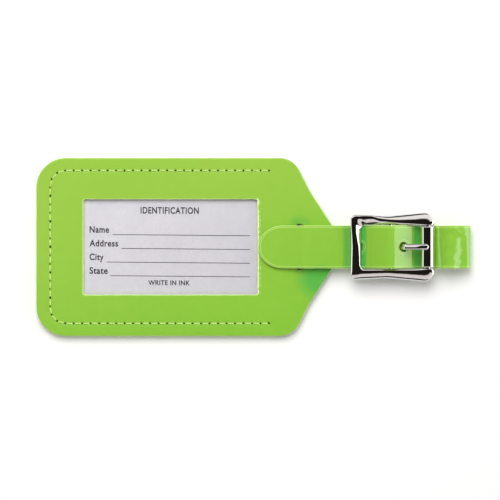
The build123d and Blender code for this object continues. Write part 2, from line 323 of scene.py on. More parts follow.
def lattice(low, high, pitch):
    """Staggered points that fill a rectangle."""
    rows = np.arange(low.imag + pitch / 2, high.imag, pitch * 0.866)
    return np.concatenate([
        np.arange(low.real + pitch * (0.5 if k % 2 else 1.0), high.real, pitch) + 1j * y
        for k, y in enumerate(rows)
    ])


def edge_drop(distance, reach, drop):
    """How far a rounded edge falls at a distance in from the edge."""
    t = np.clip(1 - distance / reach, 0, 1)
    return drop * (1 - np.sqrt(1 - t * t))


# ---- meshes


def new_object(name, verts, faces, material, smooth_angle=40.0, rims=None):
    """A smooth-shaded mesh object from millimetre coordinates."""
    mesh = bpy.data.meshes.new(name)
    mesh.from_pydata([tuple(c * MM for c in v) for v in verts], [], faces)
    if rims is not None:
        attribute = mesh.attributes.new("rim", "FLOAT", "POINT")
        attribute.data.foreach_set("value", np.asarray(rims, np.float32))
    work = bmesh.new()
    work.from_mesh(mesh)
    bmesh.ops.recalc_face_normals(work, faces=work.faces)
    for edge in work.edges:
        edge.smooth = not (edge.is_manifold and edge.calc_face_angle(0) > radians(smooth_angle))
    for face in work.faces:
        face.smooth = True
    work.to_mesh(mesh)
    work.free()
    mesh.materials.append(material)
    return link(bpy.data.objects.new(name, mesh))


def join_meshes(name, parts, material, smooth_angle=40.0):
    """One object from several (verts, faces) pairs."""
    verts, faces = [], []
    for part_verts, part_faces in parts:
        base = len(verts)
        verts += part_verts
        faces += [tuple(i + base for i in face) for face in part_faces]
    return new_object(name, verts, faces, material, smooth_angle)


def slab(name, outline, holes, lines, fill, top, bottom, rim, place, material, clear=0.22):
    """A closed sheet: a flat figure with holes, given a height above and below at each point.

    lines are (points, closed) that the triangles follow, and fill is loose points kept a distance
    clear of them. rim gives each point's share of the pale cut edge and its painted highlight, below zero
    in a needle hole, where dark shade is painted.
    """
    loops = [outline] + holes
    drawn = [(loop, True) for loop in loops] + lines

    def within(points):
        kept = inside(points, outline)
        for hole in holes:
            kept &= ~inside(points, hole)
        return kept

    keep = within(fill)
    coords, edges, starts = [], [], []
    for points, closed in drawn:
        keep &= distance_to(fill, points, closed) > clear
        base, count = len(coords), len(points)
        starts.append(base)
        coords += points
        edges += [(base + i, base + (i + 1) % count) for i in range(count if closed else count - 1)]
    coords += list(fill[keep])
    found = delaunay_2d_cdt([(c.real, c.imag) for c in coords], edges, [], 0, 1e-5, True)
    flat, triangles = np.array([complex(*v) for v in found[0]]), np.array(found[2])
    triangles = triangles[within(flat[triangles].mean(1))]
    came_from = {old: new for new, olds in enumerate(found[3]) for old in olds}
    count = len(flat)
    verts = [place(c, h) for heights in (top(flat), bottom(flat)) for c, h in zip(flat, heights)]
    faces = [tuple(int(i) for i in t) for t in triangles]
    faces += [tuple(i + count for i in face[::-1]) for face in faces]
    for loop, start in zip(loops, starts):
        ring = [came_from[start + i] for i in range(len(loop))]
        faces += [(j, i, i + count, j + count) for i, j in zip(ring, ring[1:] + ring[:1])]
    used = sorted({i for face in faces for i in face})
    renumber = {old: new for new, old in enumerate(used)}
    faces = [tuple(renumber[i] for i in face) for face in faces]
    rims = np.tile(rim(flat), 2)[used]
    return new_object(name, [verts[i] for i in used], faces, material, rims=rims)


def sweep(path, section):
    """A capped tube: path is [(point, right, up)], section(k) the ring of (across, along up)."""
    verts = [tuple(point + right * across + up * rise)
             for k, (point, right, up) in enumerate(path) for across, rise in section(k)]
    ring, count = len(section(0)), len(verts)
    caps = [tuple(range(ring)), tuple(range(count - 1, count - ring - 1, -1))]
    return verts, ring_faces(len(path), ring, False) + caps


def lathe_y(centre, profile, count=64):
    """A closed round turned about a line along Y: profile is a closed list of (radius, y)."""
    spots = [(centre + radius * exp(2j * pi * k / count), y)
             for k in range(count) for radius, y in profile]
    return [(spot.real, y, spot.imag) for spot, y in spots], ring_faces(count, len(profile), True)


# ---- node materials


class Nodes:
    """The nodes of a material, or of the world, under construction."""

    def __init__(self, name, kind="materials", shader="Principled BSDF", place="Object"):
        self.material = getattr(bpy.data, kind).new(name)
        self.material.use_nodes = True
        self.tree = self.material.node_tree
        self.shader = self.tree.nodes[shader]
        self.place = self.add("ShaderNodeTexCoord").outputs[place]

    def add(self, kind, **settings):
        node = self.tree.nodes.new(kind)
        for key, value in settings.items():
            setattr(node, key, value)
        return node

    def join(self, source, target):
        self.tree.links.new(source, target)

    def feed(self, node, **inputs):
        """Sets sockets by name, from a value or another socket."""
        for key, value in inputs.items():
            socket = node.inputs[int(key[1:]) if key[0] == "n" and key[1:].isdigit() else key]
            if isinstance(value, bpy.types.NodeSocket):
                self.join(value, socket)
            else:
                socket.default_value = value
        return node

    def noise(self, scale, detail=3.0, roughness=0.55, stretch=None):
        source = self.place
        if stretch:
            mapping = self.feed(self.add("ShaderNodeMapping"), Vector=source, Scale=stretch)
            source = mapping.outputs["Vector"]
        node = self.add("ShaderNodeTexNoise")
        self.feed(node, Vector=source, Scale=scale, Detail=detail, Roughness=roughness)
        return node.outputs["Fac"]

    def spots(self, scale):
        node = self.feed(self.add("ShaderNodeTexVoronoi"), Vector=self.place, Scale=scale)
        return node.outputs["Distance"]

    def ramp(self, value, *stops, ease="LINEAR"):
        """A colour ramp; a stop is (place, colour)."""
        node = self.feed(self.add("ShaderNodeValToRGB"), Fac=value)
        node.color_ramp.interpolation = ease
        elements = node.color_ramp.elements
        while len(elements) < len(stops):
            elements.new(0.5)
        for element, (place, colour) in zip(elements, stops):
            element.position, element.color = place, (*colour, 1.0)
        return node.outputs["Color"]

    def span(self, value, low, high, out_low=0.0, out_high=1.0):
        node = self.add("ShaderNodeMapRange")
        sockets = {"From Min": low, "From Max": high, "To Min": out_low, "To Max": out_high}
        self.feed(node, Value=value, **sockets)
        return node.outputs["Result"]

    def math(self, operation, a, b=0.0):
        node = self.add("ShaderNodeMath", operation=operation)
        return self.feed(node, n0=a, n1=b).outputs["Value"]

    def mix(self, amount, a, b, blend_type="MIX"):
        node = self.add("ShaderNodeMix", data_type="RGBA", blend_type=blend_type)
        for socket, value in ((node.inputs[0], amount), (node.inputs[6], a), (node.inputs[7], b)):
            if isinstance(value, bpy.types.NodeSocket):
                self.join(value, socket)
            else:
                socket.default_value = (*value, 1.0) if isinstance(value, tuple) else value
        return node.outputs[2]

    def bump(self, height, distance, strength=1.0, under=None):
        node = self.feed(self.add("ShaderNodeBump"), Height=height, Distance=distance * MM,
                         Strength=strength)
        if under is not None:
            self.join(under, node.inputs["Normal"])
        return node.outputs["Normal"]

    def fix(self, **sockets):
        """Sets the shader's uniform sockets; an underscore in a key stands for a space."""
        for key, value in sockets.items():
            self.shader.inputs[key.replace("_", " ")].default_value = value

    def finish(self, base, **inputs):
        """Feeds the shader its colour and other sockets, and returns the material."""
        self.feed(self.shader, **inputs, **{"Base Color": base})
        return self.material

    def axis(self, name):
        return self.feed(self.add("ShaderNodeSeparateXYZ"), Vector=self.place).outputs[name]

    def rim(self):
        return self.add("ShaderNodeAttribute", attribute_name="rim").outputs["Fac"]


def shade(red, green, blue):
    """A colour from display values out of 255, as linear light."""
    def linear(value):
        value /= 255
        return value / 12.92 if value <= 0.04045 else ((value + 0.055) / 1.055) ** 2.4

    return linear(red), linear(green), linear(blue)


def per_mm(count):
    """Texture scale for that many features to the millimetre."""
    return count / MM


def patent_vinyl():
    """Glossy lime vinyl: a smooth top film over a faint grain, paler along cut edges with a painted edge
    highlight, and with painted shade and a painted light slope.
    """
    n = Nodes("patent_vinyl")
    drift = n.noise(per_mm(0.018), 2.0)
    cloud = n.noise(per_mm(0.25), 4.0)
    # Painted light: paler and yellower toward the upper left on the key lamp's side, darker toward the
    # lower right
    painted_light_slope = n.math("SUBTRACT", n.math("MULTIPLY", n.axis("X"), 0.35), n.axis("Y"))
    painted_light_slope = n.span(painted_light_slope, -TAG_HALF * MM, TAG_HALF * MM)
    base = n.mix(painted_light_slope, shade(152, 195, 73), shade(126, 190, 56))
    base = n.mix(n.span(drift, 0.35, 0.65, 0.0, 0.4), base, shade(142, 193, 64))
    base = n.mix(n.span(cloud, 0.3, 0.7, 0.0, 0.12), base, shade(162, 206, 84))
    # Painted shade: each patch darkens the vinyl toward a cool shaded green
    for place, reach, amount in PAINTED_SHADE_PATCHES:
        away = n.add("ShaderNodeVectorMath", operation="DISTANCE")
        scaled = n.feed(n.add("ShaderNodeMapping"), Vector=n.place, Scale=reach)
        n.feed(away, n0=scaled.outputs["Vector"], n1=tuple(r * p * MM for r, p in zip(reach, place)))
        base = n.mix(n.span(away.outputs["Value"], 0.6, 1.3, amount, 0.0), base, shade(70, 176, 76))
    # Painted highlight: a pale line a little in from each cut edge, over the paler cut edge itself
    line = n.ramp(n.rim(), (0.13, (0, 0, 0)), (0.24, (0.5, 0.5, 0.5)), (0.36, (0.04, 0.04, 0.04)),
                  (0.62, (0.1, 0.1, 0.1)), (0.9, (0.9, 0.9, 0.9)))
    base = n.mix(line, base, shade(206, 236, 138))
    # Painted highlight: cream along the window's ragged right edge, over its pale cut edge
    base = n.mix(n.span(n.rim(), 1.0, 1.5, 0.0, 0.9), base, shade(242, 252, 206))
    fleck = n.span(n.spots(per_mm(1.3)), 0.0, 0.035, 0.35, 0.0)
    base = n.mix(fleck, base, shade(88, 150, 24))
    # Painted shade: dark green down in the needle holes
    base = n.mix(n.span(n.rim(), -0.2, -1.0), base, shade(34, 84, 14))
    wave = n.noise(per_mm(0.11), 2.0)
    grain = n.noise(per_mm(1.6), 3.0)
    normal = n.bump(wave, 0.16)
    normal = n.bump(grain, 0.004, under=normal)
    scuff = n.span(n.noise(per_mm(0.6), 5.0, stretch=(1, 0.25, 1)), 0.45, 0.75, 0.11, 0.2)
    n.fix(IOR=1.48, Coat_Weight=0.8, Coat_Roughness=0.03, Coat_IOR=1.5, Subsurface_Weight=0.06,
          Subsurface_Scale=0.0008)
    return n.finish(base, Roughness=scuff, Normal=normal, **{"Coat Normal": n.bump(wave, 0.13)})


def thread_material():
    """Two-ply polyester thread a little paler than the vinyl."""
    n = Nodes("thread")
    fibre = n.noise(per_mm(9.0), 2.0, stretch=(1, 1, 3))
    tone = n.noise(per_mm(0.9), 2.0)
    base = n.ramp(fibre, (0.3, shade(172, 214, 92)), (0.7, shade(216, 240, 146)))
    base = n.mix(n.span(tone, 0.3, 0.7, 0.0, 0.35), base, shade(190, 228, 112))
    n.fix(Sheen_Weight=0.3, Sheen_Roughness=0.4)
    return n.finish(base, Normal=n.bump(fibre, 0.03),
                    Roughness=n.span(fibre, 0.3, 0.7, 0.42, 0.6))


def chrome():
    """Bright chrome with faint polish lines and a few marks."""
    n = Nodes("chrome")
    polish = n.noise(per_mm(5.0), 3.0, stretch=(0.12, 1, 1))
    wave = n.noise(per_mm(0.22), 2.0)
    marks = n.span(n.spots(per_mm(0.9)), 0.0, 0.06, 1.0, 0.0)
    base = n.mix(n.span(polish, 0.3, 0.7, 0.0, 0.4), (0.80, 0.79, 0.80), (0.88, 0.87, 0.88))
    base = n.mix(n.math("MULTIPLY", marks, 0.35), base, (0.42, 0.40, 0.40))
    rough = n.span(polish, 0.35, 0.75, 0.035, 0.085)
    normal = n.bump(wave, 0.05)
    normal = n.bump(polish, 0.0012, under=normal)
    n.fix(Metallic=1.0)
    return n.finish(base, Roughness=rough, Normal=normal)


def rivet_steel():
    """Nickelled rivet, duller than the buckle and brushed by its setting tool."""
    n = Nodes("rivet_steel")
    ring = n.noise(per_mm(4.0), 4.0)
    base = n.ramp(ring, (0.3, (0.40, 0.39, 0.37)), (0.75, (0.66, 0.64, 0.60)))
    n.fix(Metallic=1.0)
    return n.finish(base, Roughness=n.span(ring, 0.3, 0.7, 0.2, 0.36), Normal=n.bump(ring, 0.012))


def card_paper():
    """Smooth white card with a faint fibre, a lilac cast and painted shade toward its lower right."""
    n = Nodes("card_paper")
    fibre = n.noise(per_mm(2.6), 5.0, stretch=(1, 0.35, 1))
    cloud = n.noise(per_mm(0.08), 3.0)
    base = n.ramp(fibre, (0.3, shade(217, 215, 220)), (0.7, shade(228, 226, 231)))
    base = n.mix(n.span(cloud, 0.35, 0.65, 0.0, 0.5), base, shade(214, 212, 218))
    # Painted shade: the card greys toward its lower right, a painted fall-off of light
    far = n.math("SUBTRACT", n.axis("X"), n.axis("Y"))
    base = n.mix(n.span(far, -60 * MM, 30 * MM, 0.0, 0.8), base, shade(204, 202, 206))
    return n.finish(base, Normal=n.bump(fibre, 0.012),
                    Roughness=n.span(fibre, 0.3, 0.7, 0.52, 0.66))


def printing_ink():
    """Dark grey ink, thinner where it missed the paper."""
    n = Nodes("printing_ink")
    miss = n.noise(per_mm(3.5), 4.0)
    base = n.ramp(miss, (0.3, shade(40, 36, 46)), (0.75, shade(66, 60, 72)))
    return n.finish(base, Roughness=n.span(miss, 0.3, 0.7, 0.5, 0.7), Normal=n.bump(miss, 0.006))


def clear_sheet():
    """Thin clear sheet: what lies behind shows through a glossy, slightly wavy skin."""
    n = Nodes("clear_sheet")
    wave = n.noise(per_mm(0.07), 2.0)
    haze = n.noise(per_mm(0.5), 4.0)
    normal = n.bump(wave, 0.12)
    gloss = n.add("ShaderNodeBsdfGlossy")
    n.feed(gloss, Roughness=n.span(haze, 0.35, 0.7, 0.05, 0.12), Normal=normal)
    through = n.add("ShaderNodeBsdfTransparent")
    n.join(n.ramp(haze, (0.3, (0.975, 0.975, 0.98)), (0.7, (0.99, 0.99, 0.992))),
           through.inputs["Color"])
    facing = n.feed(n.add("ShaderNodeLayerWeight"), Blend=0.5, Normal=normal).outputs["Facing"]
    sheen = n.math("ADD", n.math("MULTIPLY", n.math("POWER", facing, 4.0), 0.75), 0.022)
    mixed = n.feed(n.add("ShaderNodeMixShader"), n0=sheen, n1=through.outputs["BSDF"],
                   n2=gloss.outputs["BSDF"])
    n.join(mixed.outputs["Shader"], n.tree.nodes["Material Output"].inputs["Surface"])
    n.tree.nodes.remove(n.shader)
    return n.material


# ---- tag


def wobble(point, scale, size, seed=0.0):
    """Smooth noise in millimetres at a plan point."""
    return size * noise.noise(Vector((point.real * scale, point.imag * scale, seed)))


def wobbles(points, scale, size, seed=0.0):
    """The same noise at each of many points."""
    return np.array([wobble(point, scale, size, seed) for point in points])


def tag_outline():
    """Outline of the tag, anticlockwise."""
    return mirrored([
        (station(0), TAG_HALF, TAG_CORNER),
        (station(SHOULDER_X), TAG_HALF, SHOULDER_RADIUS),
        (station(FLANK[0]), FLANK[1], FLANK_RADIUS),
        (station(NECK_X), NECK_HALF, NECK_CORNER),
    ])


def rectangle(x_low, x_high, half, radius, run_step=1.2):
    """A rounded rectangle about the X axis, anticlockwise."""
    spots = [complex(x_low, -half), complex(x_high, -half), complex(x_high, half), complex(x_low, half)]
    return rounded(spots, [radius] * 4, run_step=run_step)


def window_outline():
    """The window, its punched edge a little uneven and most of all on the right."""
    loop = rectangle(station(WINDOW_X[0]), station(WINDOW_X[1]), WINDOW_HALF, WINDOW_CORNER, 0.45)
    uneven = []
    for i, point in enumerate(loop):
        along = loop[(i + 1) % len(loop)] - loop[i - 1]
        rough = 0.13 if point.real > station(WINDOW_X[1]) - 0.5 else 0.05
        shift = wobble(point, 0.9, rough, 4.0) + wobble(point, 0.21, 0.06, 8.0)
        uneven.append(point + 1j * along / abs(along) * shift)
    return uneven


def seam_path():
    """Line of the seam, an open U that starts at the upper shoulder."""
    reach = TAG_HALF - SEAM_INSET
    left = station(SEAM_LEFT)
    spots = [on_plan(SEAM_END, reach), complex(left, reach),
             complex(left, -reach), on_plan(SEAM_END, -reach)]
    return rounded(spots, [0, SEAM_CORNER, SEAM_CORNER, 0], closed=False, run_step=0.4)


def evenly(line, pitch):
    """Points at even steps along an open line, both ends included."""
    line = np.array(line)
    travel = travel_of(line)
    places = np.linspace(0, travel[-1], round(travel[-1] / pitch) + 1)
    return at_travel(places, travel, line)


def seam_press(points, holes, line, channel, hole_depth):
    """How far the stitching presses the vinyl in."""
    along = distance_to(points, line, closed=False)
    press = channel * np.exp(-(along / 0.42) ** 2)
    near = nearest(points, holes)
    press *= 0.55 + 0.45 * np.cos(2 * pi * np.clip(near / STITCH_PITCH, 0, 0.5)) ** 2
    return press + hole_depth * np.exp(-(near / NEEDLE_HOLE) ** 2)


def seam_points(holes, line):
    """Extra points that let the panel follow the seam."""
    line = np.array(line)
    run = np.gradient(line)
    rows = [line] + [line + 1j * run / abs(run) * side for side in SEAM_ROWS]
    dots = [hole + r * exp(2j * pi * k / 7) for hole in holes for r in HOLE_RINGS for k in range(7)]
    return np.concatenate(rows + [np.array(dots)])


def pale_edge_and_highlight(distance, reach):
    """Share of the pale cut edge and its painted highlight at a distance in from it."""
    return 1 / (1 + (distance / reach) ** 6)


def needle_pits(points, holes):
    """How far each point lies down a needle hole."""
    return 2 * np.exp(-(nearest(points, holes) / PIT_REACH) ** 4)


def plain(points):
    """The rim of a sheet that has no pale edge and no painted edge highlight."""
    return np.zeros(len(points))


def thinned(points, against, gap):
    """Loose points that keep clear of others."""
    against = np.asarray(against)
    return np.array([p for p in points if abs(against - p).min() > gap])


def flat_place(point, height):
    """Where a point of a flat sheet lies."""
    return (point.real, point.imag, height)


def recess_path(gap):
    """Line of the pocket's wall under the front panel, moved inward by a gap."""
    end, left, half = station(BACK_END_X) + gap, station(RECESS_X) + gap, RECESS_HALF - gap
    spots = [complex(end, TAG_HALF - 1.1), complex(end, half), complex(left, half)]
    spots += [spot.conjugate() for spot in spots[::-1]]
    return rounded(spots, [0, 0, RECESS_CORNER, RECESS_CORNER, 0, 0], closed=False)


def make_front(vinyl):
    """Front panel, hollowed underneath for the card and cut for the window and the strap."""
    outline, window = tag_outline(), window_outline()
    slot = rectangle(station(SLOT_X) - SLOT_HALF_WIDTH, station(SLOT_X) + SLOT_HALF_WIDTH,
                     SLOT_HALF_LENGTH, SLOT_HALF_WIDTH * 0.97, 0.5)
    seam = seam_path()
    holes = evenly(seam, STITCH_PITCH)
    rows = insets(outline, 0.07, 0.2, 0.42, 0.8) + insets(window, -0.07, -0.2, -0.4, -0.65)
    rows += insets(slot, -0.08, -0.22, -0.5)
    rows += [(recess_path(gap), False) for gap in (0.0, 0.06)]
    recess = recess_path(0.03)
    fine = seam_points(holes, seam)
    coarse = thinned(lattice(complex(LEFT, -TAG_HALF), on_plan(NECK_X, TAG_HALF), 1.15),
                     fine, 0.55)

    # Pale cut edges with a painted highlight, widest, brightest and ragged on the window's right edge,
    # and painted shade in the needle holes
    def rim(points):
        ragged = wobbles(points, 0.8, 1.0, 3.0)
        right = points.real > station(WINDOW_X[1]) - 0.4
        reach = np.where(right, 0.5 + 0.35 * ragged, 0.28 + 0.1 * ragged)
        window_rim = pale_edge_and_highlight(distance_to(points, window), np.clip(reach, 0.1, 0.8))
        shares = [window_rim * np.where(right, 1.5, 1.15),
                  pale_edge_and_highlight(distance_to(points, outline), 0.12), pale_edge_and_highlight(distance_to(points, slot), 0.12)]
        return np.max(shares, axis=0) - needle_pits(points, holes)

    def top(points):
        height = FRONT_TOP - seam_press(points, holes, seam, 0.16, 0.85)
        height -= edge_drop(distance_to(points, outline), 0.42, 0.3)
        height -= edge_drop(distance_to(points, window), 0.3, 0.22)
        height -= edge_drop(distance_to(points, slot), 0.4, 0.28)
        return height + wobbles(points, 0.045, 0.1) * np.clip(distance_to(points, outline) / 6, 0, 1)

    def bottom(points):
        beyond = points.real > station(BACK_END_X) + 0.03
        return np.where(beyond | inside(points, recess), FRONT_WEB, BACK_TOP + 0.02)

    piece = slab("front_cover", outline, [window, slot], rows, np.concatenate([fine, coarse]), top,
                 bottom, rim, flat_place, vinyl)
    return piece, holes


def make_back(vinyl, holes):
    """Back panel, plain apart from the seam's underside."""
    outline = mirrored([(station(0), TAG_HALF, TAG_CORNER), (BACK_END, TAG_HALF, BACK_CORNER)])
    seam = seam_path()
    rows = insets(outline, 0.07, 0.2, 0.42)
    fine = seam_points(holes, seam)
    coarse = thinned(lattice(complex(LEFT, -TAG_HALF), complex(BACK_END, TAG_HALF), 1.6), fine, 0.6)

    # Pale cut edge with a painted highlight, and painted shade in the needle holes
    def rim(points):
        return pale_edge_and_highlight(distance_to(points, outline), 0.12) - needle_pits(points, holes)

    def top(points):
        return np.full(len(points), BACK_TOP)

    def bottom(points):
        return (seam_press(points, holes, seam, 0.34, 0.4)
                + edge_drop(distance_to(points, outline), 0.42, 0.3))

    return slab("back_cover", outline, [], rows, np.concatenate([fine, coarse]), top, bottom, rim,
                flat_place, vinyl)


def ply(start, end, level, rise, phase_turn, count=11):
    """One ply of a stitch, a thin tube that twists about the stitch's line."""
    side = 1j * (end - start)
    across, up = Vector((side.real, side.imag, 0)).normalized(), Vector((0, 0, 1))
    dive = STITCH_DIVE * (1 if rise > 0 else -1)
    path = []
    for k in range(count):
        t = k / (count - 1)
        spot = start + (end - start) * (STITCH_INSET + (1 - 2 * STITCH_INSET) * t)
        lift = level + rise * (sin(pi * t) ** 0.6) - dive * (2 * t - 1) ** 8
        turn = phase_turn + 2 * pi * PLY_TURNS * t
        point = Vector((spot.real, spot.imag, lift)) + (across * cos(turn) + up * sin(turn)) * PLY_LAY
        path.append((point, across, up))

    def section(k):
        radius = PLY_RADIUS * (0.55 if k in (0, count - 1) else 1.0)
        turns = [2 * pi * j / PLY_SIDES for j in range(PLY_SIDES)]
        return [(radius * cos(turn), radius * sin(turn)) for turn in turns]

    return sweep(path, section)


def make_stitches(name, holes, level, rise, thread):
    """A run of two-ply stitches between the needle holes."""
    parts = []
    for k, (start, end) in enumerate(zip(holes, holes[1:])):
        lean = 1j * (end - start) / abs(end - start) * 0.05
        turn = wobble(start, 1.7, 1.2, 2.0)
        for half_turn in (0, pi):
            parts.append(ply(start + lean, end - lean, level, rise, turn + half_turn))
    return join_meshes(name, parts, thread, 60)


def make_sheet(clear):
    """Clear window sheet, lightly waved."""
    outline = rectangle(sheet_low.x, sheet_high.x, sheet_high.y, 0.6, 2.0)
    fill = lattice(complex(sheet_low.x, sheet_low.y), complex(sheet_high.x, sheet_high.y), 1.8)

    def middle(points):
        return (sheet_low.z + sheet_high.z) / 2 + wobbles(points, 0.06, 0.05)

    return slab("window_film", outline, [], [], fill, lambda p: middle(p) + 0.08,
                lambda p: middle(p) - 0.06, plain, flat_place, clear)


def make_card(paper):
    """Card, a hair out of square with the tag."""
    outline = [p * CARD_TURN + CARD_MIDDLE for p in rounded(
        [complex(x * CARD_SIZE[0] / 2, y * CARD_SIZE[1] / 2) for x, y in SQUARE], [1.0] * 4,
        run_step=2.0)]
    fill = lattice(complex(card_low.x, card_low.y), complex(card_high.x, card_high.y), 2.2)

    def near(points):
        return distance_to(points, outline)

    return slab("paper_card", outline, [], insets(outline, 0.08), fill,
                lambda p: card_high.z - 0.01 - edge_drop(near(p), 0.1, 0.06),
                lambda p: card_low.z + 0.01 + edge_drop(near(p), 0.1, 0.06), plain, flat_place, paper)


def lettering(words, left, baseline, width, height):
    """Words as a thin closed solid (verts, faces), set to a width and capital height."""
    curve = bpy.data.curves.new("words", "FONT")
    curve.body, curve.size, curve.extrude, curve.offset = words, 1.0, 0.01, LETTER_WEIGHT
    curve.resolution_u, curve.space_character = 6, LETTER_SPACING
    holder = link(bpy.data.objects.new("words", curve))
    bpy.context.view_layer.update()
    mesh = bpy.data.meshes.new_from_object(holder.evaluated_get(bpy.context.evaluated_depsgraph_get()))
    work = bmesh.new()
    work.from_mesh(mesh)
    bmesh.ops.remove_doubles(work, verts=work.verts, dist=1e-5)
    bmesh.ops.dissolve_degenerate(work, edges=work.edges, dist=1e-5)
    work.verts.index_update()
    low = min(v.co.x for v in work.verts)
    high = max(v.co.x for v in work.verts)
    verts = []
    for v in work.verts:
        along = (v.co.x - low) / (high - low) * width
        spot = on_plan(left + along, baseline - along * CARD_SLOPE + v.co.y / CAPITAL * height)
        verts.append((spot.real, spot.imag, PRINT_LEVEL + v.co.z * 0.8))
    faces = [tuple(v.index for v in face.verts) for face in work.faces]
    work.free()
    bpy.data.objects.remove(holder)
    bpy.data.meshes.remove(mesh)
    return verts, faces


def rule(left, right, level, width=0.23, steps=24):
    """A ruled line on the card, a thin closed bar."""
    verts = []
    for k in range(steps + 1):
        x = left + (right - left) * k / steps
        for side, lift in SQUARE:
            spot = on_plan(x, level - (x - left) * CARD_SLOPE + side * width / 2)
            verts.append((spot.real, spot.imag, PRINT_LEVEL + lift * 0.008))
    ends = [(3, 2, 1, 0), tuple(range(4 * steps, 4 * steps + 4))]
    return verts, ends + ring_faces(steps + 1, 4, False)


def make_print(ink):
    """Printed form: a heading, four labelled lines and a foot line, all generic words."""
    parts = [lettering("IDENTIFICATION", 38.9, 12.6, 21.8, LETTER_HEIGHT)]
    for words, width, start, level in (
        ("Name", 7.3, 28.5, 5.45), ("Address", 10.7, 31.9, 0.3),
        ("City", 5.3, 26.2, -4.85), ("State", 6.8, 27.5, -9.95),
    ):
        parts.append(lettering(words, FORM_LEFT, level, width, LETTER_HEIGHT))
        parts.append(rule(start, FORM_RIGHT, level - RULE_DROP - (start - FORM_LEFT) * CARD_SLOPE))
    parts.append(lettering("WRITE IN INK", 41.8, -14.2, 15.6, 1.85))
    return join_meshes("card_print", parts, ink, 30)


# ---- strap


def corner(centre, radius, normal_in, normal_out):
    """Where two runs that both touch a circle meet. Normals are angles in degrees."""
    a, b = exp(1j * radians(normal_in)), exp(1j * radians(normal_out))
    return centre + radius * (a + b) / (1 + (a * b.conjugate()).real)


def rise_of(start, end):
    """Slope of a run in degrees."""
    return degrees(phase(end - start))


def strap_route():
    """Points and bend radii of the strap's centre line from its tail to the free tip's root."""
    neck = FRONT_TOP + GAP + HALF
    heel = TOE.imag - FRAME_HALF - GAP - HALF - SPACING - HEEL_DIP
    crest, wrap = FOLD_RADIUS + SPACING, ROLLER_RADIUS + GAP + HALF
    loop_wrap = LOOP_RADIUS - HALF
    foot = complex(station(OVERALL) - LOOP_RADIUS, LOOP_RADIUS)
    brow = foot + loop_wrap * exp(1j * radians(90 - BROW_SLOPE))
    bend_x = station(LOOP_BEND_X)
    bend = complex(bend_x, brow.imag + (brow.real - bend_x) * tan(radians(BROW_SLOPE)))
    crown_x = station(LOOP_CROWN_X)
    crown = complex(crown_x, bend.imag + (bend_x - crown_x) * tan(radians(CROWN_SLOPE)))
    fall = degrees(asin((crest + wrap) / abs(TOE - BAR))) - rise_of(BAR, TOE)
    loop_rise = rise_of(TOE, crown) + degrees(asin(wrap / abs(crown - TOE)))
    fold_top, fold_bottom = BAR + 0.5j * FOLD_FLAT, BAR - 0.5j * FOLD_FLAT
    over = corner(fold_top, FOLD_RADIUS, 90 + FIXED_SLOPE, 90 + FIXED_SLOPE)
    join_x = station(PAIR_JOIN_X)
    join = complex(join_x, over.imag - (over.real - join_x) * tan(radians(FIXED_SLOPE)))
    heel_turn = complex(join_x - (join.imag - heel) / tan(radians(PAIR_SLOPE)), heel)
    neck_turn = on_plan(NECK_TURN_X, neck)
    heel_rise = rise_of(neck_turn, heel_turn)
    fixed = [(join, FIXED_SLOPE, PAIR_SLOPE), (heel_turn, PAIR_SLOPE, heel_rise),
             (neck_turn, heel_rise, 0)]
    billet = [corner(spot, SPACING, 90 + before, 90 + after) for spot, before, after in fixed]
    tail = corner(join, -SPACING, 90 + FIXED_SLOPE, 90 + PAIR_SLOPE)
    tail_slope = rise_of(tail, fold_bottom) - degrees(asin(FOLD_RADIUS / abs(fold_bottom - tail)))
    tail_x = station(TAIL_END_X)
    tail_end = complex(tail_x, tail.imag - (tail.real - tail_x) * tan(radians(PAIR_SLOPE)))
    slot_x = station(SLOT_X)
    bends = [
        (tail_end, 0), (tail, STRAP_BEND),
        (corner(fold_bottom, FOLD_RADIUS, tail_slope - 90, 0), FOLD_RADIUS),
        (corner(fold_top, FOLD_RADIUS, 0, 90 + FIXED_SLOPE), FOLD_RADIUS),
        *[(spot, STRAP_BEND) for spot, before, after in fixed],
        (complex(slot_x, neck), SLOT_BEND), (complex(slot_x, HALF), SLOT_BEND),
        (corner(foot, loop_wrap, -90, 0), loop_wrap),
        (corner(foot, loop_wrap, 0, 90 - BROW_SLOPE), loop_wrap),
        (bend, LOOP_BEND), (crown, CROWN_BEND),
        (corner(TOE, wrap, loop_rise - 90, -90 - fall), wrap),
        (corner(BAR, crest, 90 - fall, 90 + FIXED_SLOPE), crest),
        *[(spot, STRAP_BEND) for spot in billet],
        (on_plan(SEAM_X, billet[-1].imag), 0),
    ]
    return tuple(zip(*bends))


class Route:
    """A centre line in the plane of X and Z, followed by distance."""

    def __init__(self, points, radii):
        line = np.array(rounded(points, radii, closed=False, turn_step=0.16, run_step=0.8))
        self.line = distinct(line)
        self.travel = travel_of(self.line)
        run = np.diff(self.line)
        heading = np.concatenate([run[:1], run[:-1] / abs(run[:-1]) + run[1:] / abs(run[1:]), run[-1:]])
        self.heading = heading / abs(heading)
        self.length = self.travel[-1]

    def at(self, travel):
        """Point and heading at a distance along the line."""
        spot = complex(at_travel(travel, self.travel, self.line))
        heading = complex(at_travel(travel, self.travel, self.heading))
        return spot, heading / abs(heading)

    def stop(self, x, last=False):
        """Distance at which the line passes a place along X, on its first or last pass."""
        side = np.sign(self.line.real - x)
        passes = np.where(side[1:] != side[:-1])[0]
        k = passes[-1 if last else 0]
        a, b = self.line[k].real, self.line[k + 1].real
        return self.travel[k] + (x - a) / (b - a) * (self.travel[k + 1] - self.travel[k])

    def place(self, spot, height):
        """Where a point of the strip lies: distance along and across it, and height above."""
        centre, heading = self.at(spot.real)
        point = centre + 1j * heading * height
        return (point.real, spot.imag, point.imag)


